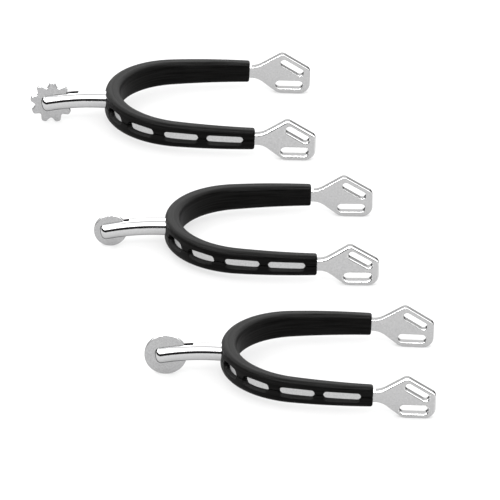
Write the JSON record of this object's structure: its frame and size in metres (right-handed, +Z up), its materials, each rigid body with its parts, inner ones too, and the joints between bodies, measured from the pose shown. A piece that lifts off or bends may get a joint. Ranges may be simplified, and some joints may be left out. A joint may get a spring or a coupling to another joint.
{
  "type": "spurs",
  "caption": "Set of riding spurs: steel heel bands in windowed rubber sleeves, slotted strap plates, curved necks, and free-turning star and disc rowels.",
  "frame": {"origin": "centre of the set's footprint, on the surface that it rests on", "axes": "+X from the rowels to the strap plates, +Y across the heels, +Z up"},
  "size_m": [0.1884, 0.3542, 0.0206],
  "materials": {
    "band_steel": "satin-polished stainless steel",
    "neck_steel": "mirror-polished stainless steel",
    "rowel_steel": "satin stainless steel with polished rims",
    "pin_steel": "polished flush",
    "sleeve_rubber": "smooth satin black rubber"
  },
  "bodies": {
    "star_spur": {"star_heel_band": "band_steel", "star_sleeve": "sleeve_rubber", "star_neck": "neck_steel", "star_rowel_pin": "pin_steel"},
    "star_rowel_wheel": {"star_rowel": "rowel_steel"},
    "small_disc_spur": {"small_disc_heel_band": "band_steel", "small_disc_sleeve": "sleeve_rubber", "small_disc_neck": "neck_steel", "small_disc_rowel_pin": "pin_steel"},
    "small_disc_rowel_wheel": {"small_disc_rowel": "rowel_steel"},
    "large_disc_spur": {"large_disc_heel_band": "band_steel", "large_disc_sleeve": "sleeve_rubber", "large_disc_neck": "neck_steel", "large_disc_rowel_pin": "pin_steel"},
    "large_disc_rowel_wheel": {"large_disc_rowel": "rowel_steel"}
  },
  "joints": [
    {"name": "star_rowel_spin", "type": "hinge", "parent": "star_spur", "child": "star_rowel_wheel", "pos_m": [-0.08392, 0.13525, 0.00994], "axis": [-0.014, 0.9999, 0], "continuous": true},
    {"name": "small_disc_rowel_spin", "type": "hinge", "parent": "small_disc_spur", "child": "small_disc_rowel_wheel", "pos_m": [-0.0569, 0.0003, 0.0079], "axis": [-0.0157, 0.9999, 0], "continuous": true},
    {"name": "small_disc_spur_lift", "type": "slide", "parent": "star_spur", "child": "small_disc_spur", "axis": [0, 0, 1], "range_m": [0, 0.1]},
    {"name": "large_disc_rowel_spin", "type": "hinge", "parent": "large_disc_spur", "child": "large_disc_rowel_wheel", "pos_m": [-0.03262, -0.13508, 0.01], "axis": [0.0157, 0.9999, 0], "continuous": true},
    {"name": "large_disc_spur_lift", "type": "slide", "parent": "star_spur", "child": "large_disc_spur", "axis": [0, 0, 1], "range_m": [0, 0.1]}
  ]
}
